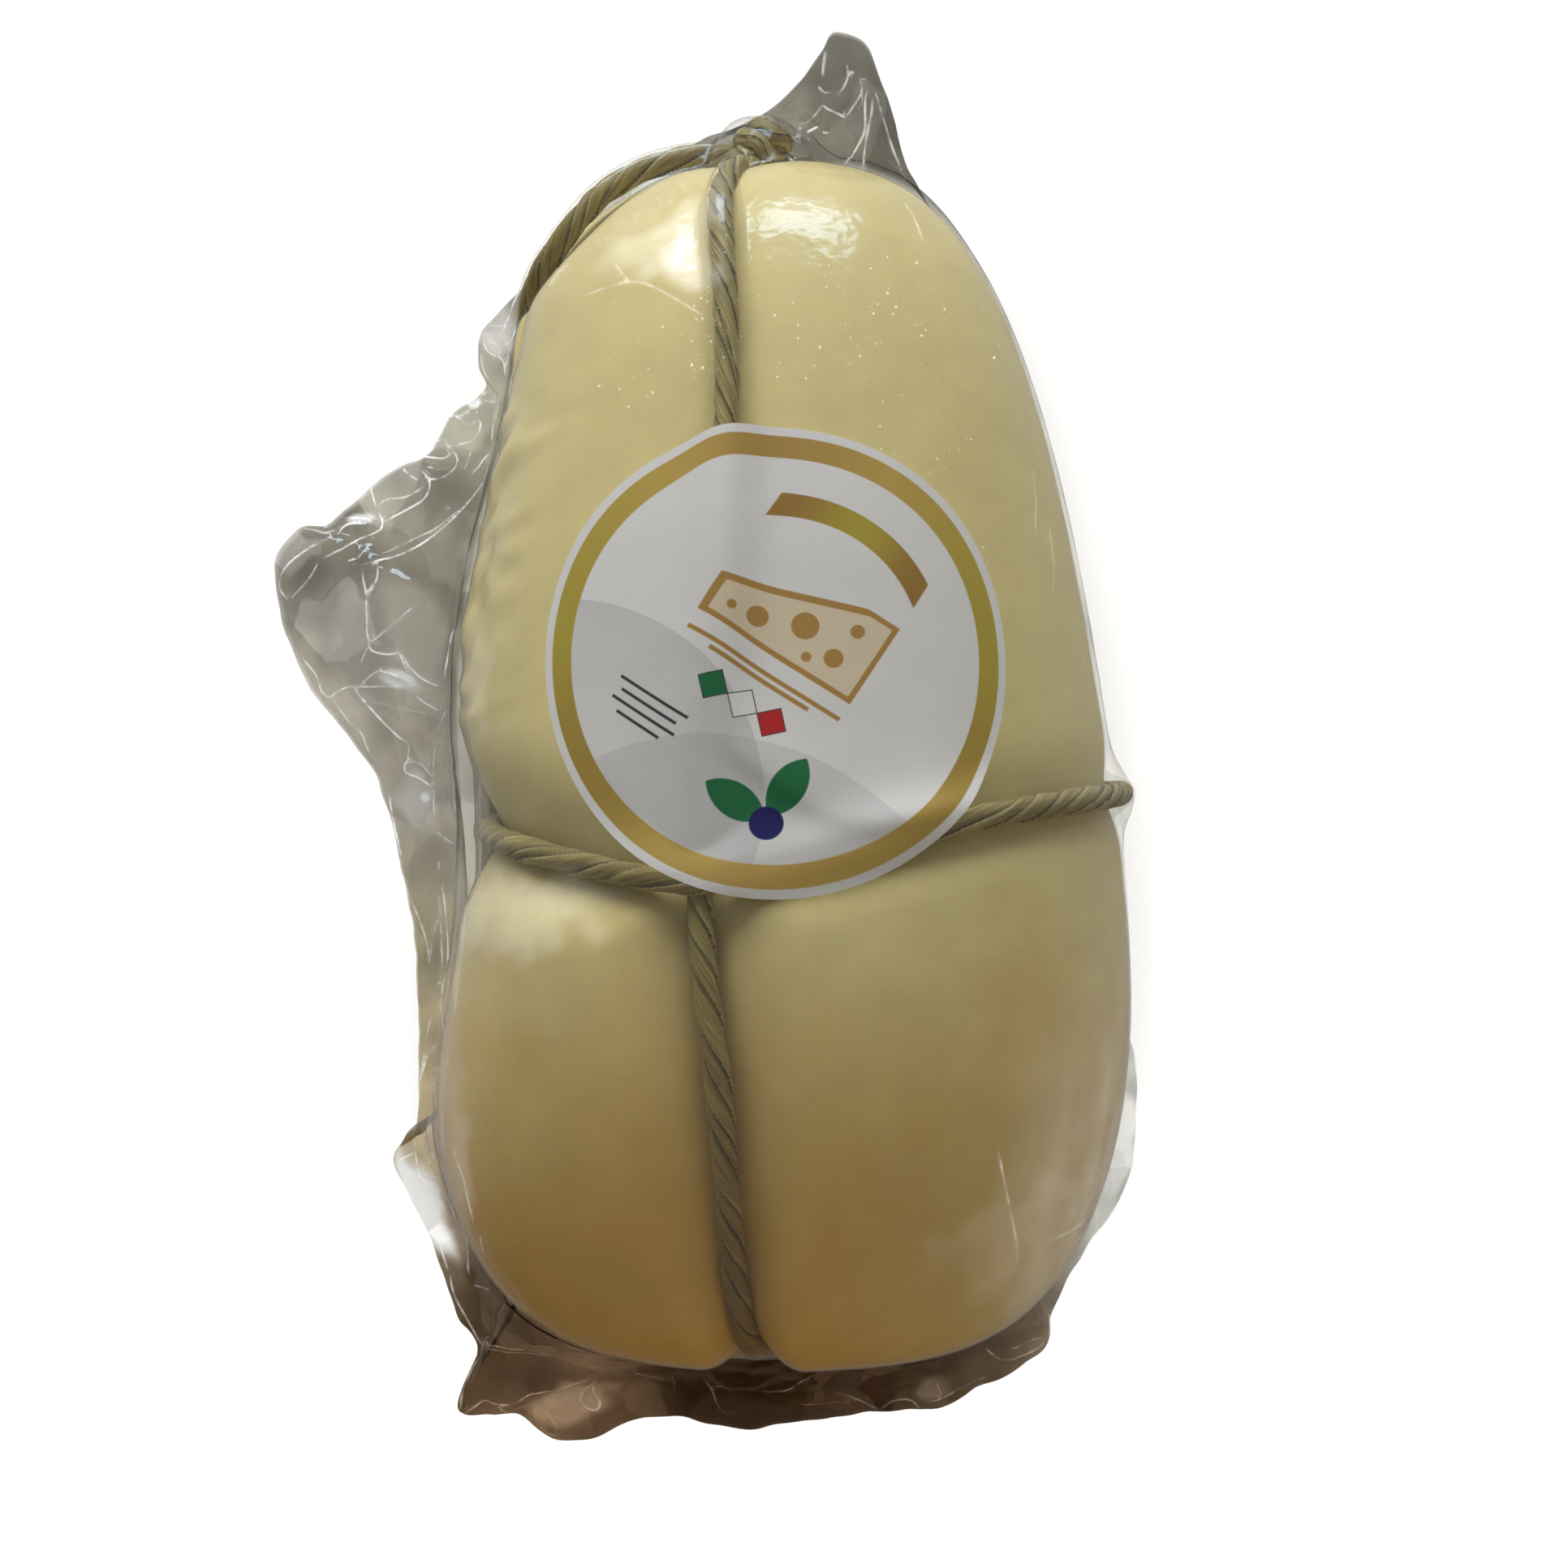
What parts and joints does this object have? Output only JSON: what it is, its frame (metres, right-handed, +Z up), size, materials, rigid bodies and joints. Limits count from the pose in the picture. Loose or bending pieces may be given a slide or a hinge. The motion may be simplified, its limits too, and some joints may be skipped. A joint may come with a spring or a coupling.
{
  "type": "provola cheese",
  "caption": "Pear-shaped pale cheese tied lengthwise and round the girth with twisted twine, vacuum-packed in clear crinkled film with a plain round paper label.",
  "frame": {"origin": "bottom centre of the whole pack's box, on the table that it lies on", "axes": "+Y along the cheese towards its narrow end, +Z up out of the labelled side, +X to the right seen from above"},
  "size_m": [0.1856, 0.3026, 0.1224],
  "materials": {
    "cheese": "smooth pale straw curd, slightly moist under its film",
    "twine": "twisted olive raffia strands with a waxy sheen",
    "label": "satin coated paper with a gold ring",
    "film": "clear glossy vacuum-bag film, crinkled at its welded margin"
  },
  "bodies": {
    "root": {"cheese": "cheese", "twine": "twine", "label": "label", "film_bag": "film"}
  },
  "joints": []
}
